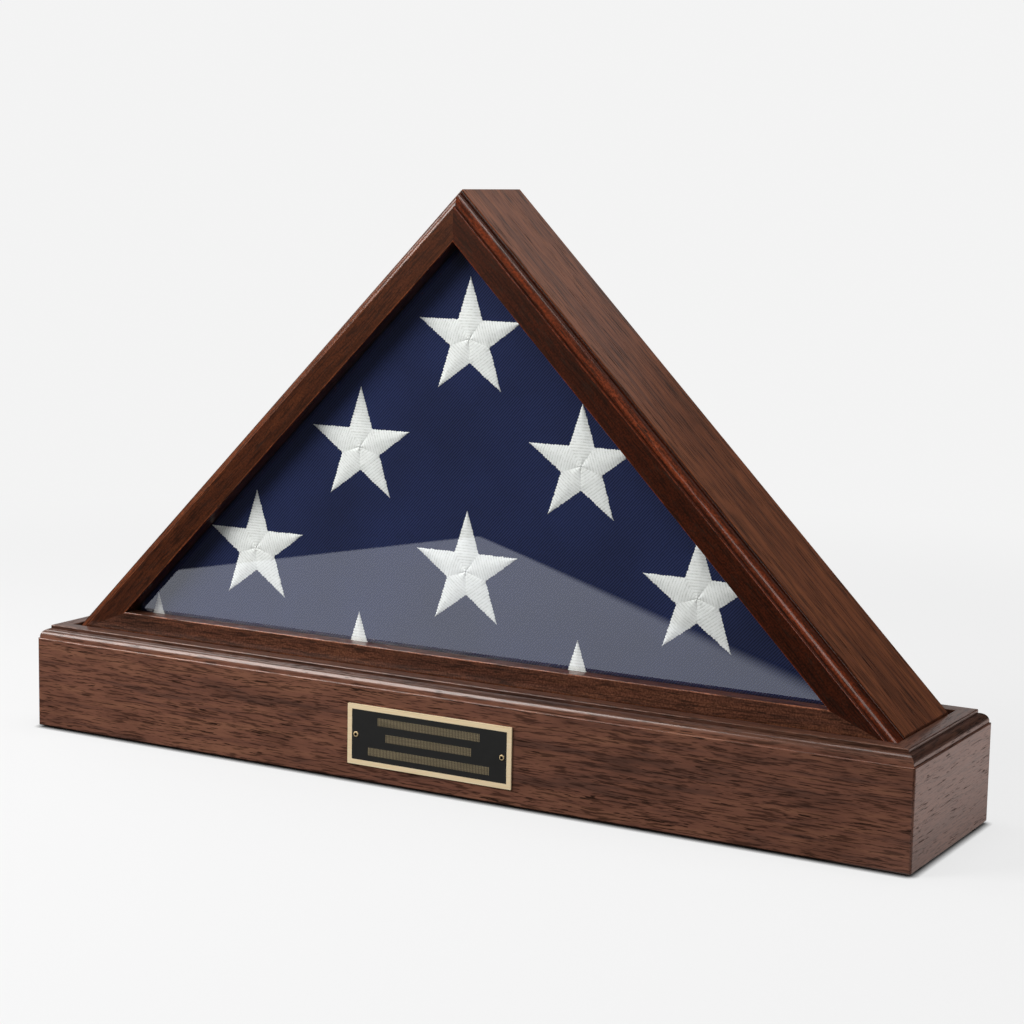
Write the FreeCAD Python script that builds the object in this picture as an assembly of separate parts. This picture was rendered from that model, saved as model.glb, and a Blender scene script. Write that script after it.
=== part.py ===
import FreeCAD, Part
import math
import os

# Display case for a folded flag: a right-angled triangular case with a glazed moulded front and a
# hinged back door, standing in the well of a long box base. Millimetres, +Z up, front towards -Y.
# The origin is on the surface that the base stands on, under the middle of the base.

# Driving dimensions of the base
BASE_LENGTH = 730.0
BASE_DEPTH = 152.0
BASE_HEIGHT = 82.0            # floor to the top of the rim, pads included
RAIL_THICKNESS = 20.0         # the four mitred rails of the base
WELL_DEPTH = 11.5             # how far the case sinks into the base
WELL_FLOOR_THICKNESS = 10.0
BOTTOM_PANEL_THICKNESS = 6.0
BOTTOM_PANEL_RECESS = 3.0     # from the rails' lower edge up to the bottom panel
CLEAT_SIZE = 12.0
CORNER_BLOCK_SIDE = 28.0
PAD_RADIUS = 9.0
PAD_THICKNESS = 1.5
PAD_INSET = 22.0              # pad centre from the base's outer faces

# Driving dimensions of the case
LEG_ANGLE = 45.25             # slope of the two upper sides
CORNER_RISE = 1.6             # the sharp lower corners are cut square up to this far above the rim
BOARD_THICKNESS = 15.0
FRAME_WIDTH = 26.0            # outer surface of the boards to the sight edge
FRAME_DEPTH = 12.0
FRAME_SETBACK = 0.6           # the frame's outer edge stands in from the boards
GLASS_THICKNESS = 2.5
GLASS_STOP_WIDTH = 8.0
GLASS_STOP_DEPTH = 8.0
DOOR_THICKNESS = 6.0
DOOR_STOP_WIDTH = 12.0
DOOR_STOP_DEPTH = 8.0
DOOR_BEVEL = 3.6              # the door's sloping edges are bevelled inwards, so that it swings clear
DOOR_CORNER_CUT = 8.0         # length that is cut off each sharp lower corner of the door

# The routed edge that the base's rim and the case's front frame share
LEDGE = 1.4
FILLET = 0.9
OVOLO_RADIUS = 6.3
STEP = 2.8
ARRIS_RADIUS = 0.7
EASING = 0.5                  # small chamfer on plain edges
CORNER_ROUNDING = 2.0         # upright outer corners of the base
BACK_ROUNDING = 2.4           # outer back edge of the case boards
GROOVE = 0.9                  # chamfer that makes the shadow line behind the frame and under the base

# Clearances
WELL_END_CLEARANCE = 0.6      # case to base, at each end
FRONT_GAP = 3.0               # face of the case to the front rim
BACK_GAP = 13.0               # back of the case to the back rim, room for the door and its hinges
SEAT_CLEARANCE = 0.1          # under the case, on the well floor
PANEL_CLEARANCE = 0.5         # round the well floor, bottom panel and glass
SOFT_CLEARANCE = 0.3          # round the folded flag
DOOR_EDGE_GAP = 1.0
DOOR_SEAT_GAP = 0.3
HINGE_RUNNING_CLEARANCE = 0.05
HINGE_GAP = 0.4
SCREW_CLEARANCE = 0.1
SCREW_TIP_CLEARANCE = 1.0     # depth of a hole past its screw or pin

# Name plate
PLATE_WIDTH = 138.0
PLATE_HEIGHT = 45.0
PLATE_THICKNESS = 1.2
PLATE_CENTRE_Z = 36.0
PLATE_BORDER = 3.8
PLATE_CORNER_RADIUS = 0.6
FIELD_DEPTH = 0.3
PLATE_PIN_SPACING = 123.0
PLATE_PIN_RADIUS = 1.0
PLATE_PIN_HEAD_RADIUS = 2.0
PLATE_PIN_HEAD_HEIGHT = 0.7
PLATE_PIN_HEAD_ROUNDING = 0.4
PLATE_PIN_SOCKET_RADIUS = 1.1
PLATE_PIN_SOCKET_DEPTH = 0.45
PLATE_PIN_LENGTH = 10.0

# Hinges, catch and knob of the back door
HINGE_SPACING = 400.0
HINGE_LENGTH = 40.0
HINGE_LEAF_WIDTH = 13.0       # from the pin's axis to the leaf's long edge
HINGE_LEAF_THICKNESS = 1.2
KNUCKLE_RADIUS = 2.5
KNUCKLE_STANDOFF = 0.3
HINGE_PIN_RADIUS = 1.2
DOOR_KNUCKLE_SHARE = 0.4      # of the hinge's length
HINGE_SCREW_SPACING = 26.0
HINGE_SCREW_RADIUS = 1.1
HINGE_SCREW_HEAD_RADIUS = 2.1
HINGE_CASE_SCREW_LENGTH = 13.0
HINGE_DOOR_SCREW_LENGTH = 5.6
MAGNET_RADIUS = 3.0
MAGNET_THICKNESS = 3.0
STRIKE_RADIUS = 3.0
STRIKE_THICKNESS = 1.0
CATCH_DROP = 70.0             # catch centres below the case's apex
KNOB_DROP = 78.0              # knob centre below the case's apex
KNOB_RADIUS = 6.0
KNOB_NECK_RADIUS = 3.0
KNOB_CROWN_RADIUS = 1.8       # flat at the middle of the knob's head
KNOB_NECK_LENGTH = 5.0
KNOB_FLANGE_RADIUS = 5.0
KNOB_FLANGE_THICKNESS = 1.2
KNOB_SCREW_RADIUS = 1.5
KNOB_SCREW_HEAD_RADIUS = 2.8
KNOB_SCREW_LENGTH = 12.0

# Small fixings
BRAD_RADIUS = 0.7
BRAD_HEAD_RADIUS = 1.2
BRAD_HEAD_THICKNESS = 0.6
BRAD_LENGTH = 17.0
BRADS_PER_STOP = 4
BRAD_END_SHARE = 0.18         # of a side's length, from its end to the first brad
PANEL_SCREW_RADIUS = 1.6
PANEL_SCREW_HEAD_RADIUS = 3.4
PANEL_SCREW_LENGTH = 15.0
PANEL_SCREWS_PER_SIDE = 4

# Sizes and places that follow from those above
RAIL_BOTTOM = PAD_THICKNESS
RAIL_HEIGHT = BASE_HEIGHT - RAIL_BOTTOM
WELL_HALF_LENGTH = BASE_LENGTH / 2 - RAIL_THICKNESS
WELL_HALF_DEPTH = BASE_DEPTH / 2 - RAIL_THICKNESS
WELL_FLOOR_TOP = BASE_HEIGHT - WELL_DEPTH
PANEL_BOTTOM = RAIL_BOTTOM + BOTTOM_PANEL_RECESS
PANEL_TOP = PANEL_BOTTOM + BOTTOM_PANEL_THICKNESS

SLOPE = math.radians(LEG_ANGLE)
CASE_HALF_LENGTH = WELL_HALF_LENGTH - WELL_END_CLEARANCE
CASE_BOTTOM = WELL_FLOOR_TOP + SEAT_CLEARANCE
CASE_TOP = BASE_HEIGHT + CORNER_RISE + CASE_HALF_LENGTH * math.tan(SLOPE)
FRAME_FACE = -WELL_HALF_DEPTH + FRONT_GAP
BOARD_FRONT = FRAME_FACE + FRAME_DEPTH
BOARD_BACK = WELL_HALF_DEPTH - BACK_GAP
GLASS_BACK = BOARD_FRONT + GLASS_THICKNESS
GLASS_STOP_BACK = GLASS_BACK + GLASS_STOP_DEPTH
DOOR_FACE = BOARD_BACK
DOOR_INNER = DOOR_FACE - DOOR_THICKNESS
DOOR_STOP_BACK = DOOR_INNER - DOOR_SEAT_GAP
DOOR_STOP_FRONT = DOOR_STOP_BACK - DOOR_STOP_DEPTH
DOOR_INSET = BOARD_THICKNESS + DOOR_EDGE_GAP
HINGE_AXIS_Z = CASE_BOTTOM + BOARD_THICKNESS + DOOR_EDGE_GAP / 2
HINGE_AXIS_Y = BOARD_BACK + KNUCKLE_STANDOFF + KNUCKLE_RADIUS
PLATE_FACE = -BASE_DEPTH / 2 - PLATE_THICKNESS

NODES = []


def vec(x, y, z):
    return FreeCAD.Vector(x, y, z)


def write(name, shape):
    """Write one sub-part, a solid or a group of separate solids."""
    shape.exportStep("parts/" + name + ".step")
    NODES.append(name)


def group(solids):
    return Part.Compound(solids)


def block(low, high):
    """Box between two opposite corners."""
    return Part.makeBox(high[0] - low[0], high[1] - low[1], high[2] - low[2], vec(*low))


def cut_all(shape, tools):
    for tool in tools:
        shape = shape.cut(tool)
    return shape


def prism_along_y(points, y_low, y_high):
    """Solid with an outline of (x, z) points, from y_low to y_high."""
    corners = [vec(x, y_low, z) for x, z in points]
    face = Part.Face(Part.makePolygon(corners + corners[:1]))
    return face.extrude(vec(0, y_high - y_low, 0))


def prism_along_z(points, z_low, z_high):
    """Solid with an outline of (x, y) points, from z_low to z_high."""
    corners = [vec(x, y, z_low) for x, y in points]
    face = Part.Face(Part.makePolygon(corners + corners[:1]))
    return face.extrude(vec(0, 0, z_high - z_low))


def outline(inset):
    """The case's triangle moved in by inset: its left, right and top corners as (x, z)."""
    bottom = CASE_BOTTOM + inset
    top = CASE_TOP - inset / math.cos(SLOPE)
    half = (top - bottom) / math.tan(SLOPE)
    return (-half, bottom), (half, bottom), (0.0, top)


def side_region(side, inset_outer, inset_inner, y_low, y_high):
    """The mitred band of one side of the triangle, between two insets."""
    outer = dict(zip(("left", "right", "top"), outline(inset_outer)))
    inner = dict(zip(("left", "right", "top"), outline(inset_inner)))
    start, end = {"left": ("left", "top"), "right": ("right", "top"), "bottom": ("left", "right")}[side]
    return prism_along_y([outer[start], outer[end], inner[end], inner[start]], y_low, y_high)


def side_frame(side):
    """Start corner, direction along and direction inwards of one side of the outer triangle."""
    left, right, top = outline(0)
    along_leg = math.cos(SLOPE)
    up_leg = math.sin(SLOPE)
    if side == "left":
        return left, (along_leg, up_leg), (up_leg, -along_leg)
    if side == "right":
        return right, (-along_leg, up_leg), (-up_leg, -along_leg)
    return left, (1.0, 0.0), (0.0, 1.0)


def side_length(side):
    left, right, top = outline(0)
    if side == "bottom":
        return right[0] - left[0]
    return (top[1] - left[1]) / math.sin(SLOPE)


def whole_side(side):
    """Vector from the start of a side of the outer triangle to its end."""
    direction = side_frame(side)[1]
    return vec(direction[0], 0, direction[1]) * side_length(side)


def side_point(side, along, inset, y):
    """Point at a distance along a side of the triangle and a distance in from its outer surface."""
    start, direction, inward = side_frame(side)
    x = start[0] + along * direction[0] + inset * inward[0]
    z = start[1] + along * direction[1] + inset * inward[1]
    return vec(x, y, z)


def outward(side):
    inward = side_frame(side)[2]
    return vec(-inward[0], 0, -inward[1])


def blunted(shape):
    """Cut the sharp lower corners square, so that the case drops into the well."""
    tall = CASE_TOP + BASE_HEIGHT
    keep = block((-CASE_HALF_LENGTH, -BASE_DEPTH, 0), (CASE_HALF_LENGTH, BASE_DEPTH, tall))
    return shape.common(keep)


def arc(first, middle, last):
    return Part.Arc(first, middle, last).toShape()


def line(first, last):
    return Part.LineSegment(first, last).toShape()


def routed_section(place, width, height, groove):
    """Face of a rail with the routed edge. place(a, b) gives the point a in from the outer side and
    b up from the back or lower edge. The outer lower corner has a chamfer of groove."""
    diagonal = math.sqrt(0.5)
    shoulder = height - FILLET - OVOLO_RADIUS - STEP
    bead = shoulder + FILLET
    riser = LEDGE + OVOLO_RADIUS
    r = ARRIS_RADIUS
    near = r * (1 - diagonal)
    edges = [
        line(place(groove, 0), place(0, groove)),
        line(place(0, groove), place(0, shoulder - r)),
        arc(place(0, shoulder - r), place(near, shoulder - near), place(r, shoulder)),
        line(place(r, shoulder), place(LEDGE, shoulder)),
        line(place(LEDGE, shoulder), place(LEDGE, bead)),
        arc(
            place(LEDGE, bead),
            place(riser - OVOLO_RADIUS * diagonal, bead + OVOLO_RADIUS * diagonal),
            place(riser, bead + OVOLO_RADIUS),
        ),
        line(place(riser, bead + OVOLO_RADIUS), place(riser, height - r)),
        arc(place(riser, height - r), place(riser + near, height - near), place(riser + r, height)),
        line(place(riser + r, height), place(width - r, height)),
        arc(place(width - r, height), place(width - near, height - near), place(width, height - r)),
        line(place(width, height - r), place(width, 0)),
        line(place(width, 0), place(groove, 0)),
    ]
    return Part.Face(Part.Wire(edges))


def board_section(place, width, height):
    """Face of a case board. place(a, b) gives the point a in from the outer side and b behind the
    front edge. The outer front edge is eased and the outer back edge is rounded over."""
    e = EASING
    r = BACK_ROUNDING
    near = r * (1 - math.sqrt(0.5))
    edges = [
        line(place(e, 0), place(width, 0)),
        line(place(width, 0), place(width, height)),
        line(place(width, height), place(r, height)),
        arc(place(r, height), place(near, height - near), place(0, height - r)),
        line(place(0, height - r), place(0, e)),
        line(place(0, e), place(e, 0)),
    ]
    return Part.Face(Part.Wire(edges))


def rod(start, direction, radius, length):
    return Part.makeCylinder(radius, length, start, direction)


def screw_body(head_centre, direction, radius, head_radius, length, clearance):
    """Countersunk screw: the head's flat top is at head_centre and the shank runs along direction."""
    head_height = head_radius - radius
    head = Part.makeCone(
        head_radius + clearance, radius + clearance, head_height, head_centre, direction
    )
    shank = rod(head_centre, direction, radius + clearance, length)
    return head.fuse(shank).removeSplitter()


def screw(head_centre, direction, radius, head_radius, length):
    """Countersunk screw with a slot across its head, and the hole it needs."""
    solid = screw_body(head_centre, direction, radius, head_radius, length, 0.0)
    slot_depth = (head_radius - radius) * 0.6
    slot = Part.makeBox(
        2.4 * head_radius, 0.3 * head_radius, slot_depth, vec(-1.2 * head_radius, -0.15 * head_radius, 0)
    )
    slot.Placement = FreeCAD.Placement(head_centre, FreeCAD.Rotation(vec(0, 0, 1), direction))
    deep = length + SCREW_TIP_CLEARANCE
    hole = screw_body(head_centre, direction, radius, head_radius, deep, SCREW_CLEARANCE)
    return solid.cut(slot), hole


def brad(side, along, inset, y):
    """Nail driven outwards through a stop into its board, with its head flush, and its hole."""
    start = side_point(side, along, inset, y)
    direction = outward(side)
    head = rod(start, direction, BRAD_HEAD_RADIUS, BRAD_HEAD_THICKNESS)
    shank = rod(start, direction, BRAD_RADIUS, BRAD_LENGTH)
    head_hole = rod(start, direction, BRAD_HEAD_RADIUS + SCREW_CLEARANCE, BRAD_HEAD_THICKNESS)
    hole = rod(start, direction, BRAD_RADIUS + SCREW_CLEARANCE, BRAD_LENGTH + SCREW_TIP_CLEARANCE)
    return head.fuse(shank).removeSplitter(), head_hole.fuse(hole)


def brads_in_stop(side, stop_inner_inset, y):
    """Evenly spaced nails along one stop, clear of its mitred ends."""
    solids = []
    holes = []
    margin = side_length(side) * BRAD_END_SHARE
    pitch = (side_length(side) - 2 * margin) / (BRADS_PER_STOP - 1)
    for index in range(BRADS_PER_STOP):
        solid, hole = brad(side, margin + index * pitch, stop_inner_inset, y)
        solids.append(solid)
        holes.append(hole)
    return solids, holes


# ---------------------------------------------------------------- base


def base_rails():
    """Four rails, mitred at the corners, with the routed edge outside the rim."""
    half_length = BASE_LENGTH / 2
    half_depth = BASE_DEPTH / 2
    rails = {}
    sides = {
        "front": (lambda a, b: vec(-half_length, -half_depth + a, RAIL_BOTTOM + b), vec(BASE_LENGTH, 0, 0)),
        "back": (lambda a, b: vec(-half_length, half_depth - a, RAIL_BOTTOM + b), vec(BASE_LENGTH, 0, 0)),
        "left": (lambda a, b: vec(-half_length + a, -half_depth, RAIL_BOTTOM + b), vec(0, BASE_DEPTH, 0)),
        "right": (lambda a, b: vec(half_length - a, -half_depth, RAIL_BOTTOM + b), vec(0, BASE_DEPTH, 0)),
    }
    outer = {
        "front_left": (-half_length, -half_depth),
        "front_right": (half_length, -half_depth),
        "back_left": (-half_length, half_depth),
        "back_right": (half_length, half_depth),
    }
    inner = {
        "front_left": (-WELL_HALF_LENGTH, -WELL_HALF_DEPTH),
        "front_right": (WELL_HALF_LENGTH, -WELL_HALF_DEPTH),
        "back_left": (-WELL_HALF_LENGTH, WELL_HALF_DEPTH),
        "back_right": (WELL_HALF_LENGTH, WELL_HALF_DEPTH),
    }
    ends = {
        "front": ("front_left", "front_right"),
        "back": ("back_left", "back_right"),
        "left": ("front_left", "back_left"),
        "right": ("front_right", "back_right"),
    }
    rounded = block((-half_length, -half_depth, 0), (half_length, half_depth, BASE_HEIGHT + 1))
    upright = [e for e in rounded.Edges if abs(e.tangentAt(e.FirstParameter).z) > 0.9]
    rounded = rounded.makeFillet(CORNER_ROUNDING, upright)
    for side, (place, sweep) in sides.items():
        bar = routed_section(place, RAIL_THICKNESS, RAIL_HEIGHT, GROOVE).extrude(sweep)
        first, last = ends[side]
        mitre = prism_along_z([outer[first], outer[last], inner[last], inner[first]], 0, BASE_HEIGHT + 1)
        rails[side] = bar.common(mitre).common(rounded)
    return rails


def base_cleats():
    """Strips glued inside the front and back rails: two under the well floor, two over the bottom."""
    cleats = {}
    length = WELL_HALF_LENGTH - CORNER_BLOCK_SIDE - PANEL_CLEARANCE
    floor_top = WELL_FLOOR_TOP - WELL_FLOOR_THICKNESS
    for side, sign in (("front", -1), ("back", 1)):
        near = sign * (WELL_HALF_DEPTH - CLEAT_SIZE)
        far = sign * WELL_HALF_DEPTH
        y_low = min(near, far)
        y_high = max(near, far)
        cleats["well_cleat_" + side] = block(
            (-length, y_low, floor_top - CLEAT_SIZE), (length, y_high, floor_top)
        )
        cleats["bottom_cleat_" + side] = block(
            (-length, y_low, PANEL_TOP), (length, y_high, PANEL_TOP + CLEAT_SIZE)
        )
    return cleats


def corner_blocks():
    """Three-cornered glue blocks that stiffen the base's mitres."""
    blocks = []
    for x_sign in (-1, 1):
        for y_sign in (-1, 1):
            x = x_sign * WELL_HALF_LENGTH
            y = y_sign * WELL_HALF_DEPTH
            points = [(x, y), (x - x_sign * CORNER_BLOCK_SIDE, y), (x, y - y_sign * CORNER_BLOCK_SIDE)]
            blocks.append(prism_along_z(points, PANEL_TOP, WELL_FLOOR_TOP - WELL_FLOOR_THICKNESS))
    return blocks


def loose_panel(z_low, z_high):
    """Panel that fills the base's inside, with the panel clearance all round."""
    x = WELL_HALF_LENGTH - PANEL_CLEARANCE
    y = WELL_HALF_DEPTH - PANEL_CLEARANCE
    return block((-x, -y, z_low), (x, y, z_high))


def panel_screws():
    """Screws up through the bottom panel into the two lower cleats."""
    solids = []
    holes = []
    reach = WELL_HALF_LENGTH - CORNER_BLOCK_SIDE - 2 * CLEAT_SIZE
    pitch = 2 * reach / (PANEL_SCREWS_PER_SIDE - 1)
    for y_sign in (-1, 1):
        y = y_sign * (WELL_HALF_DEPTH - CLEAT_SIZE / 2)
        for index in range(PANEL_SCREWS_PER_SIDE):
            head = vec(-reach + index * pitch, y, PANEL_BOTTOM)
            solid, hole = screw(
                head, vec(0, 0, 1), PANEL_SCREW_RADIUS, PANEL_SCREW_HEAD_RADIUS, PANEL_SCREW_LENGTH
            )
            solids.append(solid)
            holes.append(hole)
    return solids, holes


def felt_pads():
    """Four round pads under the base's corners, each glued half under a rail's lower edge."""
    pads = []
    for x_sign in (-1, 1):
        for y_sign in (-1, 1):
            x = x_sign * (BASE_LENGTH / 2 - RAIL_THICKNESS / 2 - GROOVE / 2)
            y = y_sign * (BASE_DEPTH / 2 - PAD_INSET)
            pads.append(rod(vec(x, y, 0), vec(0, 0, 1), PAD_RADIUS, PAD_THICKNESS))
    return pads


def name_plate():
    """Brass plate with a raised border, its dark field, and two pins with socketed round heads."""
    back = -BASE_DEPTH / 2
    half_width = PLATE_WIDTH / 2
    low = PLATE_CENTRE_Z - PLATE_HEIGHT / 2
    high = PLATE_CENTRE_Z + PLATE_HEIGHT / 2
    plate = block((-half_width, PLATE_FACE, low), (half_width, back, high))
    upright = [e for e in plate.Edges if abs(e.tangentAt(e.FirstParameter).y) > 0.9]
    plate = plate.makeFillet(PLATE_CORNER_RADIUS, upright)
    b = PLATE_BORDER
    field = block(
        (-half_width + b, PLATE_FACE, low + b), (half_width - b, PLATE_FACE + FIELD_DEPTH, high - b)
    )
    plate = plate.cut(field)
    pins = []
    holes = []
    for x_sign in (-1, 1):
        x = x_sign * PLATE_PIN_SPACING / 2
        seat = vec(x, PLATE_FACE, PLATE_CENTRE_Z)
        head = rod(seat, vec(0, -1, 0), PLATE_PIN_HEAD_RADIUS, PLATE_PIN_HEAD_HEIGHT)
        rim = [e for e in head.Edges if e.BoundBox.YMax < PLATE_FACE - PLATE_PIN_HEAD_HEIGHT + 0.01]
        head = head.makeFillet(PLATE_PIN_HEAD_ROUNDING, rim)
        socket_start = vec(x, PLATE_FACE - PLATE_PIN_HEAD_HEIGHT, PLATE_CENTRE_Z)
        socket = rod(socket_start, vec(0, 1, 0), PLATE_PIN_SOCKET_RADIUS, PLATE_PIN_SOCKET_DEPTH)
        shank = rod(seat, vec(0, 1, 0), PLATE_PIN_RADIUS, PLATE_PIN_LENGTH)
        pins.append(head.cut(socket).fuse(shank).removeSplitter())
        hole_radius = PLATE_PIN_RADIUS + SCREW_CLEARANCE
        holes.append(rod(seat, vec(0, 1, 0), hole_radius, PLATE_PIN_LENGTH + SCREW_TIP_CLEARANCE))
    return cut_all(plate, holes), cut_all(field, holes), pins, holes


def make_base():
    rails = base_rails()
    plate, field, pins, pin_holes = name_plate()
    screws, screw_holes = panel_screws()
    cleats = base_cleats()
    bottom_panel = cut_all(loose_panel(PANEL_BOTTOM, PANEL_TOP), screw_holes)
    rails["front"] = cut_all(rails["front"], pin_holes)
    for side, rail in rails.items():
        write("base_rail_" + side, rail)
    for name, cleat in cleats.items():
        if name.startswith("bottom"):
            cleat = cut_all(cleat, screw_holes)
        write(name, cleat)
    write("corner_blocks", group(corner_blocks()))
    write("well_floor", loose_panel(WELL_FLOOR_TOP - WELL_FLOOR_THICKNESS, WELL_FLOOR_TOP))
    write("bottom_panel", bottom_panel)
    write("bottom_panel_screws", group(screws))
    write("felt_pads", group(felt_pads()))
    write("name_plate", plate)
    write("name_plate_field", field)
    write("name_plate_pins", group(pins))


# ---------------------------------------------------------------- case


def case_boards():
    boards = {}
    depth = BOARD_BACK - BOARD_FRONT
    for side in ("left", "right", "bottom"):

        def place(a, b, side=side):
            return side_point(side, 0, a, BOARD_FRONT + b)

        bar = board_section(place, BOARD_THICKNESS, depth).extrude(whole_side(side))
        region = side_region(side, 0, BOARD_THICKNESS, BOARD_FRONT, BOARD_BACK)
        boards[side] = blunted(bar.common(region))
    return boards


def frame_rails():
    """The moulded front frame, its back against the boards' front edges."""
    rails = {}
    width = FRAME_WIDTH - FRAME_SETBACK
    for side in ("left", "right", "bottom"):

        def place(a, b, side=side):
            return side_point(side, 0, FRAME_SETBACK + a, BOARD_FRONT - b)

        bar = routed_section(place, width, FRAME_DEPTH, GROOVE).extrude(whole_side(side))
        region = side_region(side, 0, FRAME_WIDTH, FRAME_FACE - 1, BOARD_FRONT)
        rails[side] = blunted(bar.common(region))
    return rails


def stop_strip(side, width, y_low, y_high):
    return side_region(side, BOARD_THICKNESS, BOARD_THICKNESS + width, y_low, y_high)


def catch_places():
    """Centres of the two magnets, as a side and a distance along it."""
    along = side_length("left") - CATCH_DROP / math.sin(SLOPE)
    return [(side, along) for side in ("left", "right")]


def flag_block():
    """The folded flag: a three-cornered pad, smaller between the glass stops and door stops."""
    lip = SOFT_CLEARANCE
    body_inset = BOARD_THICKNESS + lip
    front_inset = BOARD_THICKNESS + GLASS_STOP_WIDTH + lip
    back_inset = BOARD_THICKNESS + DOOR_STOP_WIDTH + lip
    body = prism_along_y(outline(body_inset), GLASS_STOP_BACK + lip, DOOR_STOP_FRONT - lip)
    front = prism_along_y(outline(front_inset), GLASS_BACK + lip, GLASS_STOP_BACK + 2 * lip)
    back = prism_along_y(outline(back_inset), DOOR_STOP_FRONT - 2 * lip, DOOR_INNER - 4 * lip)
    return body.fuse(front).fuse(back).removeSplitter()


def knuckle(x_low, x_high, radius):
    return rod(vec(x_low, HINGE_AXIS_Y, HINGE_AXIS_Z), vec(1, 0, 0), radius, x_high - x_low)


def hinge(x_centre):
    """One butt hinge: case leaf, door leaf, pin, and the screws and holes of each leaf."""
    half = HINGE_LENGTH / 2
    door_half = half * DOOR_KNUCKLE_SHARE
    gap = HINGE_GAP / 2
    root = KNUCKLE_RADIUS + HINGE_GAP
    y_low = BOARD_BACK
    y_high = BOARD_BACK + HINGE_LEAF_THICKNESS
    bore = knuckle(x_centre - half - 1, x_centre + half + 1, HINGE_PIN_RADIUS + HINGE_RUNNING_CLEARANCE)
    case_spans = [(-half, -door_half - gap), (door_half + gap, half)]
    door_spans = [(-door_half + gap, door_half - gap)]
    leaves = []
    for spans, sign in ((case_spans, -1), (door_spans, 1)):
        z_far = HINGE_AXIS_Z + sign * HINGE_LEAF_WIDTH
        z_root = HINGE_AXIS_Z + sign * root
        leaf = block(
            (x_centre - half, y_low, min(z_far, z_root)), (x_centre + half, y_high, max(z_far, z_root))
        )
        for low, high in spans:
            tab = block(
                (x_centre + low, y_low, min(z_root, HINGE_AXIS_Z)),
                (x_centre + high, y_high, max(z_root, HINGE_AXIS_Z)),
            )
            leaf = leaf.fuse(tab).fuse(knuckle(x_centre + low, x_centre + high, KNUCKLE_RADIUS))
        leaves.append(leaf.cut(bore).removeSplitter())
    pin = knuckle(x_centre - half, x_centre + half, HINGE_PIN_RADIUS)
    fixings = []
    for sign, length in ((-1, HINGE_CASE_SCREW_LENGTH), (1, HINGE_DOOR_SCREW_LENGTH)):
        z = HINGE_AXIS_Z + sign * (HINGE_LEAF_WIDTH + root) / 2
        pair = []
        for x_sign in (-1, 1):
            head = vec(x_centre + x_sign * HINGE_SCREW_SPACING / 2, y_high, z)
            pair.append(screw(head, vec(0, -1, 0), HINGE_SCREW_RADIUS, HINGE_SCREW_HEAD_RADIUS, length))
        fixings.append(pair)
    return leaves, pin, fixings


def door_panel():
    """Inset panel of the back door, its sloping edges bevelled and its lower corners cut square."""
    panel = prism_along_y(outline(DOOR_INSET), DOOR_INNER, DOOR_FACE)
    half = outline(DOOR_INSET)[1][0] - DOOR_CORNER_CUT
    panel = panel.common(block((-half, DOOR_INNER, 0), (half, DOOR_FACE, CASE_TOP)))
    over = 0.2  # the cutter runs past both faces by this share
    outer = (DOOR_INSET - over * DOOR_BEVEL, DOOR_FACE + over * DOOR_THICKNESS)
    inner = (DOOR_INSET + (1 + over) * DOOR_BEVEL, DOOR_INNER - over * DOOR_THICKNESS)
    for side in ("left", "right"):
        section = [outer, inner, (outer[0] - DOOR_THICKNESS, inner[1]), (outer[0] - DOOR_THICKNESS, outer[1])]
        points = [side_point(side, 0, inset, y) for inset, y in section]
        waste = Part.Face(Part.makePolygon(points + points[:1]))
        panel = panel.cut(waste.extrude(whole_side(side)))
    return panel


def disc_along_y(centre, y_low, y_high, radius):
    return rod(vec(centre.x, y_low, centre.z), vec(0, 1, 0), radius, y_high - y_low)


def turned_knob(centre_z):
    """Turned knob with a flange, a neck and a rounded head, bored for its screw."""
    neck_end = KNOB_FLANGE_THICKNESS + KNOB_NECK_LENGTH
    head_end = neck_end + KNOB_RADIUS
    profile = [
        line(vec(0, 0, 0), vec(KNOB_FLANGE_RADIUS, 0, 0)),
        line(vec(KNOB_FLANGE_RADIUS, 0, 0), vec(KNOB_FLANGE_RADIUS, KNOB_FLANGE_THICKNESS, 0)),
        line(
            vec(KNOB_FLANGE_RADIUS, KNOB_FLANGE_THICKNESS, 0), vec(KNOB_NECK_RADIUS, KNOB_FLANGE_THICKNESS, 0)
        ),
        line(vec(KNOB_NECK_RADIUS, KNOB_FLANGE_THICKNESS, 0), vec(KNOB_NECK_RADIUS, neck_end, 0)),
        arc(
            vec(KNOB_NECK_RADIUS, neck_end, 0),
            vec(KNOB_RADIUS, (neck_end + head_end) / 2, 0),
            vec(KNOB_CROWN_RADIUS, head_end, 0),
        ),
        line(vec(KNOB_CROWN_RADIUS, head_end, 0), vec(0, head_end, 0)),
        line(vec(0, head_end, 0), vec(0, 0, 0)),
    ]
    knob = Part.Face(Part.Wire(profile)).revolve(vec(0, 0, 0), vec(0, 1, 0), 360)
    knob.translate(vec(0, DOOR_FACE, centre_z))
    return knob


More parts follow.
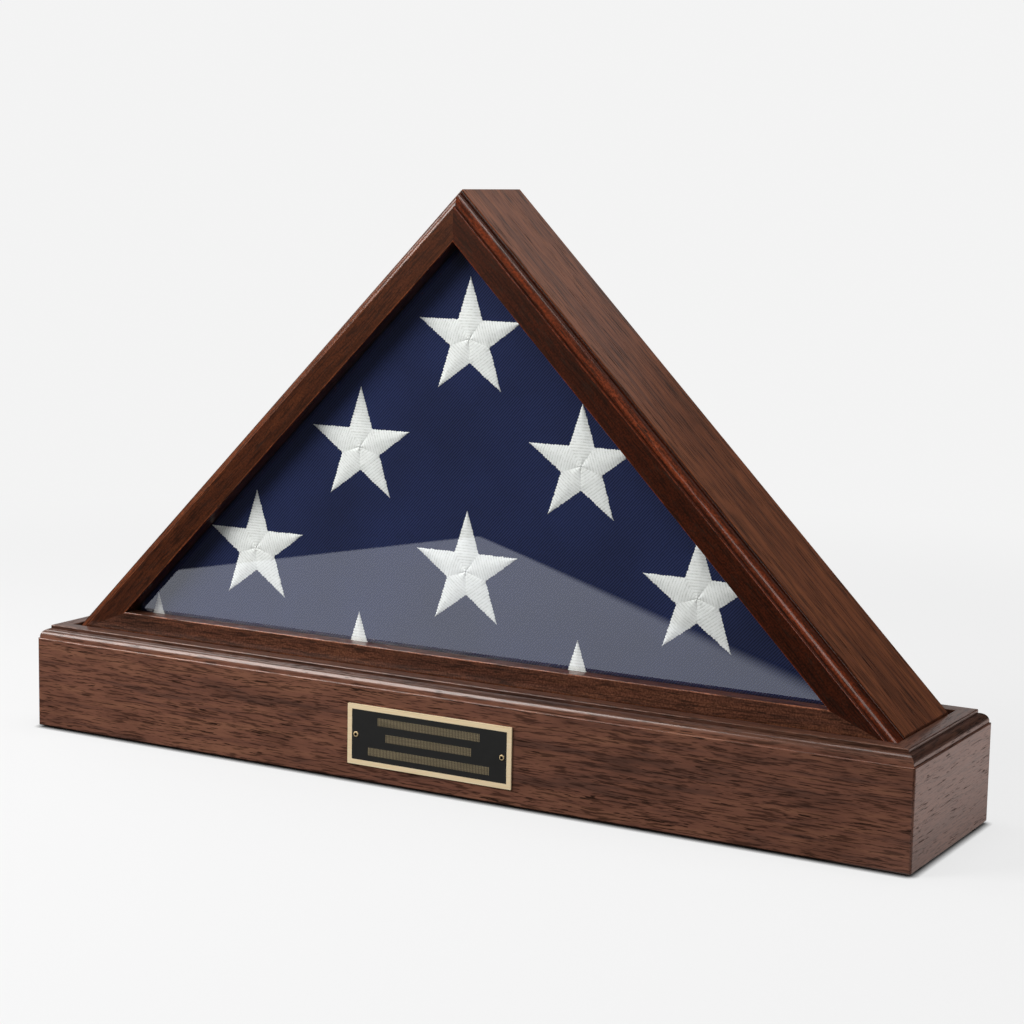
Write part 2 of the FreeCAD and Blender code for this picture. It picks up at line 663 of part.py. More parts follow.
def make_case_and_door():
    boards = case_boards()
    glass_stops = {}
    door_stops = {}
    glass_brads = []
    door_brads = []
    for side in ("left", "right", "bottom"):
        stop = stop_strip(side, GLASS_STOP_WIDTH, GLASS_BACK, GLASS_STOP_BACK)
        middle = (GLASS_BACK + GLASS_STOP_BACK) / 2
        solids, holes = brads_in_stop(side, BOARD_THICKNESS + GLASS_STOP_WIDTH, middle)
        glass_brads += solids
        glass_stops[side] = cut_all(stop, holes)
        boards[side] = cut_all(boards[side], holes)
    for side in ("left", "right"):
        stop = stop_strip(side, DOOR_STOP_WIDTH, DOOR_STOP_FRONT, DOOR_STOP_BACK)
        middle = (DOOR_STOP_FRONT + DOOR_STOP_BACK) / 2
        solids, holes = brads_in_stop(side, BOARD_THICKNESS + DOOR_STOP_WIDTH, middle)
        door_brads += solids
        door_stops[side] = cut_all(stop, holes)
        boards[side] = cut_all(boards[side], holes)

    door = door_panel()
    magnets = []
    strikes = []
    for side, along in catch_places():
        inset = DOOR_INSET + DOOR_BEVEL + STRIKE_RADIUS + DOOR_EDGE_GAP / 2
        centre = side_point(side, along, inset, 0)
        clear = SCREW_CLEARANCE
        magnets.append(disc_along_y(centre, DOOR_STOP_BACK - MAGNET_THICKNESS, DOOR_STOP_BACK, MAGNET_RADIUS))
        pocket = disc_along_y(
            centre, DOOR_STOP_BACK - MAGNET_THICKNESS, DOOR_STOP_BACK, MAGNET_RADIUS + clear
        )
        door_stops[side] = door_stops[side].cut(pocket)
        strikes.append(disc_along_y(centre, DOOR_INNER, DOOR_INNER + STRIKE_THICKNESS, STRIKE_RADIUS))
        recess = disc_along_y(centre, DOOR_INNER, DOOR_INNER + STRIKE_THICKNESS, STRIKE_RADIUS + clear)
        door = door.cut(recess)

    case_screws = []
    door_screws = []
    for name, x in (("left", -HINGE_SPACING / 2), ("right", HINGE_SPACING / 2)):
        leaves, pin, fixings = hinge(x)
        for solid, hole in fixings[0]:
            case_screws.append(solid)
            leaves[0] = leaves[0].cut(hole)
            boards["bottom"] = boards["bottom"].cut(hole)
        for solid, hole in fixings[1]:
            door_screws.append(solid)
            leaves[1] = leaves[1].cut(hole)
            door = door.cut(hole)
        write("hinge_case_leaf_" + name, leaves[0])
        write("hinge_door_leaf_" + name, leaves[1])
        write("hinge_pin_" + name, pin)

    knob_z = CASE_TOP - KNOB_DROP
    knob_screw, knob_hole = screw(
        vec(0, DOOR_INNER, knob_z), vec(0, 1, 0), KNOB_SCREW_RADIUS, KNOB_SCREW_HEAD_RADIUS, KNOB_SCREW_LENGTH
    )
    for side, board in boards.items():
        write("case_board_" + side, board)
    for side, rail in frame_rails().items():
        write("front_frame_" + side, rail)
    for side, stop in glass_stops.items():
        write("glass_stop_" + side, stop)
    for side, stop in door_stops.items():
        write("door_stop_" + side, stop)
    write("glass_stop_brads", group(glass_brads))
    write("door_stop_brads", group(door_brads))
    glass = prism_along_y(outline(BOARD_THICKNESS + PANEL_CLEARANCE), BOARD_FRONT, GLASS_BACK)
    write("glass_pane", glass)
    write("folded_flag", flag_block())
    write("catch_magnets", group(magnets))
    write("catch_strikes", group(strikes))
    write("hinge_case_screws", group(case_screws))
    write("hinge_door_screws", group(door_screws))
    write("back_door", door.cut(knob_hole))
    write("door_knob", turned_knob(knob_z).cut(knob_hole))
    write("door_knob_screw", knob_screw)


os.makedirs("parts", exist_ok=True)
make_base()
make_case_and_door()
print(len(NODES), "sub-parts written")
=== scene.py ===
import math

import bpy
from mathutils import Matrix, Vector, noise


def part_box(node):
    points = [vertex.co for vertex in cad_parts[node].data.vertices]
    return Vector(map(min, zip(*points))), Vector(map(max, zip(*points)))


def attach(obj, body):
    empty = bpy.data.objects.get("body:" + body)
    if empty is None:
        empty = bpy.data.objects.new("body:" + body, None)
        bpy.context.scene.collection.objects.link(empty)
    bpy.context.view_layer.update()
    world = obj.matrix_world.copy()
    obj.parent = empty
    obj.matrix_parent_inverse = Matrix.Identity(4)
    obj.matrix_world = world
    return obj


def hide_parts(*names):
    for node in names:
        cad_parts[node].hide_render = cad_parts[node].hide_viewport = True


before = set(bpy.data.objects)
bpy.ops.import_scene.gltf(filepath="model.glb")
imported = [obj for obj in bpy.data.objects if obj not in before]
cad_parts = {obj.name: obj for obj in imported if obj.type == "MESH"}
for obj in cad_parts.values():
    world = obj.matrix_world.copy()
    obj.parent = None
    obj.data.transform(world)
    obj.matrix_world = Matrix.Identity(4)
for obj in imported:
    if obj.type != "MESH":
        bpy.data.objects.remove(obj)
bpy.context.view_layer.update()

bpy.ops.object.select_all(action="DESELECT")

# The studio: a long lens to the right of the case and a little above its apex, a pale floor that
# runs out into a white sweep, and soft boxes in front, overhead, to the left and behind. A lit
# white table top lies in front, which only the glass, the lacquer and the brass mirror.
CAMERA_PLACE = Vector((0.8585, -1.4650, 0.4466))
CAMERA_YAW = math.radians(29.730)
CAMERA_PITCH = math.radians(8.383)
CAMERA_ROLL = math.radians(1.055)
CAMERA_LENS = 82.11            # mm, on a 36 mm sensor
ROOM_LIGHT = (0.12, 0.12, 0.125, 1)        # what matt faces gather of the room
ROOM_MIRRORED = (0.025, 0.025, 0.025, 1)   # and what glossy ones mirror of it
FLOOR_RADIUS = 6.0
FLOOR_NEAR = 0.6               # from this radius out the floor turns into the sweep,
FLOOR_FAR = 1.5                # and from this one all its white comes from below
FLOOR_GLOW_SHARE = 0.82        # the share of its white that comes from below, near the case
FLOOR_WHITE = "#dcdcdc"
SWEEP_GLOW = 0.900             # radiance of the lit white sweep
CONTACT_REACH = 0.0055         # width of the painted contact shadow where the base meets the floor
CONTACT_POWER = 2.6
TABLE_CORNER = Vector((-0.579, -1.056, 0.0002))
TABLE_EDGES = (math.radians(38.8), math.radians(110.0))
TABLE_SIDE = 4.0
RIGHT_EDGE_ALONG = (0.15, 1.00)            # between these distances along the right edge
RIGHT_EDGE_BLUR = (0.010, 0.045)           # its blur grows by this
LEFT_EDGE_BLUR = 0.014
FIRST_MIRROR = 1.5                         # only a ray's first mirror sees the table sharply
GLASS_GLOW = (0.97, 1.01, 1.14, 1)         # what the glass mirrors of it;
GLASS_FADE_X = (-0.30, 0.10)               # between these X it falls
GLASS_FADE_SHARE = 0.84                    # to this share
SATIN_FRONT_GLOW = (0.10, 0.09, 0.09, 1)   # what satin lacquer and brass gather of it, in front;
SATIN_FRONT_Y = (-0.14, -0.55)             # between these Y it grows
SATIN_FRONT_SHARE = 0.15                   # from this share
SATIN_SIDE_GLOW = (0.96, 0.76, 0.70, 1)    # and beside the base, with the wood's warmth;
SATIN_SIDE_X = (0.30, 0.42)                # it takes over between these X


def linear(colour):
    """An sRGB hex colour as linear red, green, blue and alpha."""
    parts = [int(colour[i : i + 2], 16) / 255 for i in (1, 3, 5)]
    return [p / 12.92 if p <= 0.04045 else ((p + 0.055) / 1.055) ** 2.4 for p in parts] + [1.0]


def add(tree, kind, values=None, links=None, stops=None, **settings):
    """Add a node: its settings, the values of its open sockets, and the sockets that feed it."""
    node = tree.nodes.new("ShaderNode" + kind)
    for name, value in settings.items():
        setattr(node, name, value)
    for socket, value in (values or {}).items():
        node.inputs[socket].default_value = value
    for socket, source in (links or {}).items():
        tree.links.new(source, node.inputs[socket])
    for i, (place, colour) in enumerate(stops or []):
        elements = node.color_ramp.elements
        element = elements[i] if i < len(elements) else elements.new(place)
        element.position = place
        element.color = linear(colour) if isinstance(colour, str) else [colour] * 3 + [1]
    return node


def new_material(name):
    """A material with its node tree and its Principled shader."""
    material = bpy.data.materials.new(name)
    material.use_nodes = True
    return material, material.node_tree, material.node_tree.nodes["Principled BSDF"]


camera = bpy.data.objects.new("camera", bpy.data.cameras.new("camera"))
camera.data.sensor_width = 36.0
camera.data.lens = CAMERA_LENS
camera.matrix_world = (
    Matrix.Translation(CAMERA_PLACE)
    @ Matrix.Rotation(CAMERA_YAW, 4, "Z")
    @ Matrix.Rotation(math.pi / 2 - CAMERA_PITCH, 4, "X")
    @ Matrix.Rotation(CAMERA_ROLL, 4, "Z")
)
bpy.context.scene.collection.objects.link(camera)
bpy.context.scene.camera = camera
bpy.context.scene.view_settings.view_transform = "Standard"

world = bpy.data.worlds.new("studio")
bpy.context.scene.world = world
world.use_nodes = True
tree = world.node_tree
path = add(tree, "LightPath")
soft = add(tree, "Mix", {6: ROOM_LIGHT, 7: ROOM_MIRRORED},
           {0: path.outputs["Is Glossy Ray"]}, data_type="RGBA")
seen = add(tree, "Mix", {7: (SWEEP_GLOW,) * 3 + (1,)},
           {0: path.outputs["Is Camera Ray"], 6: soft.outputs[2]}, data_type="RGBA")
tree.links.new(seen.outputs[2], tree.nodes["Background"].inputs["Color"])

bpy.ops.mesh.primitive_circle_add(vertices=96, radius=FLOOR_RADIUS, fill_type="NGON")
floor = bpy.context.object
floor.name = "floor"
material, tree, shader = new_material("matt white floor")
place = add(tree, "TexCoord")
distance = add(tree, "VectorMath", links={0: place.outputs["Object"]}, operation="LENGTH")
fade = add(tree, "MapRange",
           {"From Min": FLOOR_NEAR, "From Max": FLOOR_FAR, "To Min": FLOOR_GLOW_SHARE},
           {"Value": distance.outputs["Value"]}, interpolation_type="SMOOTHSTEP")
lit = add(tree, "BsdfDiffuse", {"Color": linear(FLOOR_WHITE)})
# Near the base, ambient occlusion dims the floor's glow: a painted contact shadow.
contact = add(tree, "AmbientOcclusion", {"Distance": CONTACT_REACH}, samples=16)
deep = add(tree, "Math", {1: CONTACT_POWER}, {0: contact.outputs["AO"]}, operation="POWER")
level = add(tree, "Math", {1: SWEEP_GLOW}, {0: deep.outputs[0]}, operation="MULTIPLY")
glow = add(tree, "Emission", links={"Strength": level.outputs[0]})
mixed = add(tree, "MixShader",
            links={0: fade.outputs["Result"], 1: lit.outputs[0], 2: glow.outputs[0]})
tree.links.new(mixed.outputs[0], tree.nodes["Material Output"].inputs["Surface"])
floor.data.materials.append(material)
floor.visible_glossy = False
floor.visible_diffuse = False

edge_right, edge_left = (Vector((math.cos(turn), math.sin(turn), 0)) for turn in TABLE_EDGES)
bpy.ops.mesh.primitive_plane_add(size=TABLE_SIDE)
table_top = bpy.context.object
table_top.name = "table_top_glow"
for v in table_top.data.vertices:
    along_right = (v.co.x + TABLE_SIDE / 2) * edge_right
    along_left = (v.co.y + TABLE_SIDE / 2) * edge_left
    v.co = TABLE_CORNER + along_right + along_left
material, tree, shader = new_material("lit white table top")
place = add(tree, "TexCoord")
split = add(tree, "SeparateXYZ", links={0: place.outputs["Object"]})
forward = add(tree, "MapRange", {"From Min": SATIN_FRONT_Y[0], "From Max": SATIN_FRONT_Y[1],
                                 "To Min": SATIN_FRONT_SHARE},
              {"Value": split.outputs["Y"]})
beside = add(tree, "MapRange", {"From Min": SATIN_SIDE_X[0], "From Max": SATIN_SIDE_X[1]},
             {"Value": split.outputs["X"]})
ahead = add(tree, "Mix", {0: 1.0, 6: SATIN_FRONT_GLOW}, {7: forward.outputs[0]},
            data_type="RGBA", blend_type="MULTIPLY")
satin = add(tree, "Mix", {7: SATIN_SIDE_GLOW}, {0: beside.outputs[0], 6: ahead.outputs[2]},
            data_type="RGBA")
out = add(tree, "VectorMath", {1: TABLE_CORNER}, {0: place.outputs["Object"]}, operation="SUBTRACT")
far = add(tree, "VectorMath", {1: edge_right}, {0: out.outputs[0]}, operation="DOT_PRODUCT")
off_right = add(tree, "VectorMath", {1: (-edge_right.y, edge_right.x, 0)}, {0: out.outputs[0]},
                operation="DOT_PRODUCT")
off_left = add(tree, "VectorMath", {1: (edge_left.y, -edge_left.x, 0)}, {0: out.outputs[0]},
               operation="DOT_PRODUCT")
blur = add(tree, "MapRange", {"From Min": RIGHT_EDGE_ALONG[0], "From Max": RIGHT_EDGE_ALONG[1],
                              "To Min": RIGHT_EDGE_BLUR[0], "To Max": RIGHT_EDGE_BLUR[1]},
           {"Value": far.outputs["Value"]})
soft_right = add(tree, "MapRange",
                 links={"Value": off_right.outputs["Value"], "From Max": blur.outputs[0]},
                 interpolation_type="SMOOTHSTEP")
soft_left = add(tree, "MapRange", {"From Max": LEFT_EDGE_BLUR},
                {"Value": off_left.outputs["Value"]}, interpolation_type="SMOOTHSTEP")
faint = add(tree, "MapRange", {"From Min": GLASS_FADE_X[0], "From Max": GLASS_FADE_X[1],
                               "To Min": 1.0, "To Max": GLASS_FADE_SHARE},
            {"Value": split.outputs["X"]})
level = add(tree, "Math", links={0: soft_right.outputs[0], 1: soft_left.outputs[0]},
            operation="MULTIPLY")
level = add(tree, "Math", links={0: level.outputs[0], 1: faint.outputs[0]}, operation="MULTIPLY")
sharp = add(tree, "Mix", {0: 1.0, 6: GLASS_GLOW}, {7: level.outputs[0]},
            data_type="RGBA", blend_type="MULTIPLY")
ray = add(tree, "LightPath")
once = add(tree, "Math", {1: FIRST_MIRROR}, {0: ray.outputs["Ray Depth"]}, operation="LESS_THAN")
mirrored = add(tree, "Math", links={0: ray.outputs["Is Singular Ray"], 1: once.outputs[0]},
               operation="MULTIPLY")
seen = add(tree, "Mix", links={0: mirrored.outputs[0], 6: satin.outputs[2], 7: sharp.outputs[2]},
           data_type="RGBA")
glow = add(tree, "Emission", links={"Color": seen.outputs[2]})
tree.links.new(glow.outputs[0], tree.nodes["Material Output"].inputs["Surface"])
table_top.data.materials.append(material)
for kind in ("camera", "diffuse", "transmission", "volume_scatter", "shadow"):
    setattr(table_top, "visible_" + kind, False)


def soft_box(name, place, aim, width, height, radiance):
    """A rectangular soft box that faces aim; radiance is the brightness of its face."""
    light = bpy.data.lights.new(name, "AREA")
    light.shape = "RECTANGLE"
    light.size, light.size_y = width, height
    light.energy = radiance * math.pi * width * height
    box = bpy.data.objects.new(name, light)
    box.location = place
    box.rotation_euler = (Vector(aim) - Vector(place)).to_track_quat("-Z", "Y").to_euler()
    box.visible_camera = False
    bpy.context.scene.collection.objects.link(box)


case_middle = sum(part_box("glass_pane"), Vector()) / 2
soft_box("key_front_left", (-1.12, -1.16, 1.15), case_middle, 1.0, 1.0, 13.3)
soft_box("overhead", (0.15, 0.15, 1.70), case_middle, 1.0, 1.0, 4.5)
soft_box("fill_right", (0.97, -1.19, 1.03), case_middle, 0.6, 0.6, 4.1)
soft_box("strip_left", (-1.42, 0.05, 1.45), case_middle, 0.45, 1.1, 6.0)
soft_box("back_card", (0.10, 2.00, 1.90), (0.0, 0.0, 0.3), 2.4, 1.1, 0.36)
soft_box("low_card_behind", (-1.50, 2.60, 0.74), (0.2, 0.0, 0.08), 2.8, 0.50, 0.45)


# Base rails: four lengths of hardwood mitred at the corners, the top edge routed with a bead.
# Stained dark walnut and sprayed with satin lacquer: brown streaks along each rail, short dark
# pores, a soft sheen on the flats and bright lines on the bead.
STREAK = (0.060, 0.0050)       # length and width of the streaks in the figure
STREAK_SHARE = 0.62            # the broad bands have the rest of it
BAND = (0.300, 0.018)
LINE = (0.017, 0.0012)         # the short dark lines of the grain
CLOUD = (0.045, 0.016)         # darker patches, where the wood drank more stain
MOTTLE = 0.0014                # specks, where the glaze stayed in the pores
PORE = (0.013, 0.0007)         # drawn wider than real pores, so that they show
PORE_ROW = (0.120, 0.0045)     # the pores lie in rows of this size
PORE_ROW_PULL = 0.35
PORE_ROUGHNESS = 0.3
PORE_RELIEF = -1.2
PORE_BARE = 0.8                # the share of the lacquer film that a pore lacks
WANDER = (0.085, 0.0040)       # over this length the grain wanders off line by this
WANDER_WIDTH = 0.35            # the wander's width, as a share of its length
PAINTED_STRIP_CORE = 0.2                # the share of a painted strip that has its full gain
STAIN_LIGHT = "#84563f"
STAIN_MIDDLE = "#754a38"
STAIN_DARK = "#5d3d30"
PORE_COLOUR = "#24150f"
SATIN_ROUGHNESS = (0.28, 0.46)
LACQUER_TINT = "#ffbf9e"       # the stain tints what the satin sealer mirrors
LACQUER_SPECULAR = 0.25
LACQUER_COAT = 0.55
LACQUER_COAT_ROUGHNESS = 0.14


def walnut(name, turn, shift, tone=(1, 1, 1), clouds=0.22, mottled=0.0,
           length=1.0, contrast=0.6, painted_strips=()):
    """Stained walnut whose grain runs along X once turned; tone deepens the stain. painted_strips
    gives strips of painted highlight, lighter, or of painted shade, darker: their height once
    turned, half width and gain."""
    material, tree, shader = new_material(name)
    place = add(tree, "TexCoord")
    along = add(tree, "Mapping", {"Location": shift, "Rotation": turn},
                {"Vector": place.outputs["Object"]})

    def stretched(size, source, **values):
        scale = (1 / size[0] / length, 1 / size[1], 1 / size[1])
        scaled = add(tree, "Mapping", {"Scale": scale}, {"Vector": source})
        return add(tree, "TexNoise", {"Scale": 1.0, **values}, {"Vector": scaled.outputs[0]})

    sway = stretched((WANDER[0], WANDER[0] * WANDER_WIDTH), along.outputs[0], Detail=2.0)
    off = add(tree, "VectorMath", {1: (0.5, 0.5, 0.5)}, {0: sway.outputs["Color"]},
              operation="SUBTRACT")
    wide = add(tree, "VectorMath", {1: (0, WANDER[1] / length, WANDER[1] / length)},
               {0: off.outputs[0]}, operation="MULTIPLY")
    warped = add(tree, "VectorMath", links={0: along.outputs[0], 1: wide.outputs[0]},
                 operation="ADD")
    line = warped.outputs[0]

    bands = stretched(BAND, line, Detail=2.0)
    streaks = stretched(STREAK, line, Detail=4.0, Roughness=0.6)
    lines = stretched(LINE, line, Detail=2.0, Roughness=0.55)
    blotch = stretched((MOTTLE, MOTTLE), along.outputs[0], Detail=2.0, Roughness=0.6)
    cloud = stretched(CLOUD, along.outputs[0], Detail=3.0, Roughness=0.6)
    pores = stretched(PORE, line, Detail=1.0)
    rows = stretched(PORE_ROW, line, Detail=1.0)

    figure = add(tree, "Math", {1: STREAK_SHARE}, {0: streaks.outputs[0]}, operation="MULTIPLY")
    figure = add(tree, "Math", {1: 1 - STREAK_SHARE}, {0: bands.outputs[0], 2: figure.outputs[0]},
                 operation="MULTIPLY_ADD")
    stain = add(tree, "ValToRGB", links={0: figure.outputs[0]},
                stops=[(0.38, STAIN_DARK), (0.62, STAIN_LIGHT), (0.48, STAIN_MIDDLE)])
    grain = add(tree, "ValToRGB", links={0: lines.outputs[0]},
                stops=[(0.52, 1.0), (0.61, 1 - contrast)])
    patch = add(tree, "ValToRGB", links={0: cloud.outputs[0]},
                stops=[(0.32, 1 - clouds), (0.54, 1.0)])
    colour = stain.outputs[0]
    for coat in (grain.outputs[0], patch.outputs[0]):
        darker = add(tree, "Mix", {0: 1.0}, {6: colour, 7: coat},
                     data_type="RGBA", blend_type="MULTIPLY")
        colour = darker.outputs[2]
    toned = add(tree, "VectorMath", {1: tone}, {0: colour}, operation="MULTIPLY")
    specks = add(tree, "MapRange", {"From Min": 0.35, "From Max": 0.65,
                                    "To Min": 1 - mottled, "To Max": 1 + mottled},
                 {"Value": blotch.outputs[0]})
    toned = add(tree, "VectorMath", links={0: toned.outputs[0], "Scale": specks.outputs[0]},
                operation="SCALE")
    height = add(tree, "SeparateXYZ", links={0: along.outputs[0]})
    # Each strip scales the colour: painted highlight where its gain is above zero, painted shade
    # below.
    for middle, half, gain in painted_strips:
        gap = add(tree, "Math", {1: middle}, {0: height.outputs["Z"]}, operation="SUBTRACT")
        gap = add(tree, "Math", links={0: gap.outputs[0]}, operation="ABSOLUTE")
        strip_gain = add(tree, "MapRange", {"From Min": half, "From Max": half * PAINTED_STRIP_CORE,
                                     "To Min": 1.0, "To Max": 1 + gain},
                  {"Value": gap.outputs[0]}, interpolation_type="SMOOTHSTEP")
        toned = add(tree, "VectorMath", links={0: toned.outputs[0], "Scale": strip_gain.outputs[0]},
                    operation="SCALE")
    dash = add(tree, "Math", {1: PORE_ROW_PULL}, {0: rows.outputs[0], 2: pores.outputs[0]},
               operation="MULTIPLY_ADD")
    pore = add(tree, "ValToRGB", links={0: dash.outputs[0]}, stops=[(0.815, 0.0), (0.865, 1.0)])
    colour = add(tree, "Mix", {7: linear(PORE_COLOUR)}, {0: pore.outputs[0], 6: toned.outputs[0]},
                 data_type="RGBA")
    tree.links.new(colour.outputs[2], shader.inputs["Base Color"])

    satin = add(tree, "MapRange", {"To Min": SATIN_ROUGHNESS[0], "To Max": SATIN_ROUGHNESS[1]},
                {"Value": lines.outputs[0]})
    rough = add(tree, "Math", {1: PORE_ROUGHNESS}, {0: pore.outputs[0], 2: satin.outputs[0]},
                operation="MULTIPLY_ADD")
    tree.links.new(rough.outputs[0], shader.inputs["Roughness"])
    relief = add(tree, "Math", {1: PORE_RELIEF}, {0: pore.outputs[0], 2: lines.outputs[0]},
                 operation="MULTIPLY_ADD")
    bump = add(tree, "Bump", {"Strength": 0.4, "Distance": 0.00005}, {"Height": relief.outputs[0]})
    tree.links.new(bump.outputs[0], shader.inputs["Normal"])
    film = add(tree, "Math", {1: -LACQUER_COAT * PORE_BARE, 2: LACQUER_COAT},
               {0: pore.outputs[0]}, operation="MULTIPLY_ADD")
    tree.links.new(film.outputs[0], shader.inputs["Coat Weight"])
    shader.inputs["Specular IOR Level"].default_value = LACQUER_SPECULAR
    shader.inputs["Specular Tint"].default_value = linear(LACQUER_TINT)
    shader.inputs["Coat Roughness"].default_value = LACQUER_COAT_ROUGHNESS
    return material


def finish_node(name, material):
    """Give a CAD node its material."""
    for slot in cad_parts[name].material_slots:
        slot.material = material


BASE_TONE = (0.92, 0.99, 1.12)
ALONG_X = (0, 0, 0)
ALONG_Y = (0, 0, -math.pi / 2)
RIM_SHADE_DOWN = 0.0030        # painted shade lies in a strip this far below the rim's top
FOOT_SHADE_UP = 0.0010         # and painted contact shade in one this far above the floor
rim_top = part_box("base_rail_front")[1].z
painted_shade_strips = [(rim_top - RIM_SHADE_DOWN, 0.0062, -0.55), (FOOT_SHADE_UP, 0.0022, -0.6)]
for side, turn, shift in (("front", ALONG_X, 0), ("back", ALONG_X, 2.3),
                          ("left", ALONG_Y, 4.1), ("right", ALONG_Y, 6.7)):
    finish_node("base_rail_" + side, walnut("walnut, " + side + " rail", turn, (shift, 0, 0),
                                            BASE_TONE, painted_strips=painted_shade_strips))

# Inside of the base: planed pine cleats and glue blocks, the plywood well floor and bottom panel
# with its zinc plated screws, and black felt pads under the corners.
PINE_LIGHT = "#d8b27c"
PINE_DARK = "#b98a52"
PINE_STRETCH = (4, 260, 260)   # growth rings 4 mm apart, drawn out to 250 mm along the cleats
material, tree, shader = new_material("planed pine")
place = add(tree, "TexCoord")
stretch = add(tree, "Mapping", {"Scale": PINE_STRETCH}, {"Vector": place.outputs["Object"]})
rings = add(tree, "TexNoise", {"Scale": 1.0, "Detail": 3.0}, {"Vector": stretch.outputs[0]})
colour = add(tree, "ValToRGB", links={0: rings.outputs[0]},
             stops=[(0.35, PINE_DARK), (0.6, PINE_LIGHT)])
bump = add(tree, "Bump", {"Strength": 0.4, "Distance": 0.0001}, {"Height": rings.outputs[0]})
tree.links.new(colour.outputs[0], shader.inputs["Base Color"])
tree.links.new(bump.outputs[0], shader.inputs["Normal"])
shader.inputs["Roughness"].default_value = 0.7
for name in ("well_cleat_front", "well_cleat_back", "bottom_cleat_front", "bottom_cleat_back",
             "corner_blocks"):
    finish_node(name, material)

panel_stain = walnut("stained plywood, base panels", ALONG_X, (9.2, 0.4, 0), (0.8, 0.8, 0.8), 0.3)
finish_node("well_floor", panel_stain)
finish_node("bottom_panel", panel_stain)

ZINC = "#c4c5c8"
ZINC_GRAIN = 900.0             # per metre: the plating's grain, drawn coarse so that it shows
zinc, tree, shader = new_material("zinc plated steel")
place = add(tree, "TexCoord")
grain = add(tree, "TexNoise", {"Scale": ZINC_GRAIN, "Detail": 2.0},
            {"Vector": place.outputs["Object"]})
rough = add(tree, "MapRange", {"To Min": 0.25, "To Max": 0.45}, {"Value": grain.outputs[0]})
tree.links.new(rough.outputs[0], shader.inputs["Roughness"])
shader.inputs["Base Color"].default_value = linear(ZINC)
shader.inputs["Metallic"].default_value = 1.0
finish_node("bottom_panel_screws", zinc)

FELT_DARK = "#0c0c0c"
FELT_LIGHT = "#2a2a2a"
FELT_FIBRE = 1400.0            # per metre: matted wool, 0.7 mm
material, tree, shader = new_material("black wool felt")
place = add(tree, "TexCoord")
fibre = add(tree, "TexNoise", {"Scale": FELT_FIBRE, "Detail": 4.0},
            {"Vector": place.outputs["Object"]})
colour = add(tree, "ValToRGB", links={0: fibre.outputs[0]},
             stops=[(0.3, FELT_DARK), (0.7, FELT_LIGHT)])
bump = add(tree, "Bump", {"Strength": 0.8, "Distance": 0.0003}, {"Height": fibre.outputs[0]})
tree.links.new(colour.outputs[0], shader.inputs["Base Color"])
tree.links.new(bump.outputs[0], shader.inputs["Normal"])
shader.inputs["Roughness"].default_value = 0.95
finish_node("felt_pads", material)

# Name plate: a brass plate with a raised border, brushed along its length and lacquered, its field
# filled with black enamel, held by two small brass pins with dark sockets. It carries no words:
# three plain bands of upright strokes stand where an inscription would be engraved.
BRUSH_PITCH = 0.0004
BRUSH_STRETCH = 40             # each brush mark is about 25 mm long
BRASS_ROUGHNESS = (0.36, 0.50)
PIN_SOCKET_RADIUS = 0.0012
SOCKET_DARK = "#120e08"
ENAMEL = "#232322"
ENAMEL_FLOW = 160.0            # per metre: the faint swell of the enamel, 6 mm
STROKE = Vector((0.00075, 0.00016, 0.0058))
STROKE_BEVEL = 0.00005
STROKE_PITCH = 0.00125
BAND_LENGTHS = (0.086, 0.072, 0.102)
BAND_PITCH = 0.0115


def brushed_brass(name, light, dark, metal=1.0):
    """Brass brushed along X; gives its material, tree, shader and the colour of the marks. metal is
    the share that still shines as bare metal, where lacquer or wear leaves the rest matt."""
    material, tree, shader = new_material(name)
    place = add(tree, "TexCoord")
    scale = (BRUSH_STRETCH, 1 / BRUSH_PITCH, 1 / BRUSH_PITCH)
    stretch = add(tree, "Mapping", {"Scale": scale}, {"Vector": place.outputs["Object"]})
    brush = add(tree, "TexNoise", {"Scale": 1.0, "Detail": 2.0}, {"Vector": stretch.outputs[0]})
    colour = add(tree, "ValToRGB", links={0: brush.outputs[0]}, stops=[(0.3, dark), (0.7, light)])
    rough = add(tree, "MapRange", {"To Min": BRASS_ROUGHNESS[0], "To Max": BRASS_ROUGHNESS[1]},
                {"Value": brush.outputs[0]})
    bump = add(tree, "Bump", {"Strength": 0.3, "Distance": 0.00002}, {"Height": brush.outputs[0]})
    tree.links.new(colour.outputs[0], shader.inputs["Base Color"])
    tree.links.new(rough.outputs[0], shader.inputs["Roughness"])
    tree.links.new(bump.outputs[0], shader.inputs["Normal"])
    shader.inputs["Metallic"].default_value = metal
    return material, tree, shader, colour


plate_brass = brushed_brass("brushed brass, name plate", light="#fdeac6", dark="#f6d9a8",
                            metal=0.20)[0]
finish_node("name_plate", plate_brass)

pin_low, pin_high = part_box("name_plate_pins")
pin_radius = (pin_high.z - pin_low.z) / 2
material, tree, shader, colour = brushed_brass("brass pins with dark sockets", light="#f6deb0",
                                               dark="#e4c48c", metal=0.5)
place = add(tree, "TexCoord")
split = add(tree, "SeparateXYZ", links={0: place.outputs["Object"]})
both = add(tree, "Math", links={0: split.outputs["X"]}, operation="ABSOLUTE")
side = add(tree, "Math", {1: pin_high.x - pin_radius}, {0: both.outputs[0]}, operation="SUBTRACT")
rise = add(tree, "Math", {1: (pin_low.z + pin_high.z) / 2}, {0: split.outputs["Z"]},
           operation="SUBTRACT")
flat = add(tree, "CombineXYZ", links={"X": side.outputs[0], "Y": rise.outputs[0]})
away = add(tree, "VectorMath", links={0: flat.outputs[0]}, operation="LENGTH")
inside = add(tree, "Math", {1: PIN_SOCKET_RADIUS}, {0: away.outputs["Value"]},
             operation="LESS_THAN")
dark = add(tree, "Mix", {7: linear(SOCKET_DARK)}, {0: inside.outputs[0], 6: colour.outputs[0]},
           data_type="RGBA")
tree.links.new(dark.outputs[2], shader.inputs["Base Color"])
finish_node("name_plate_pins", material)

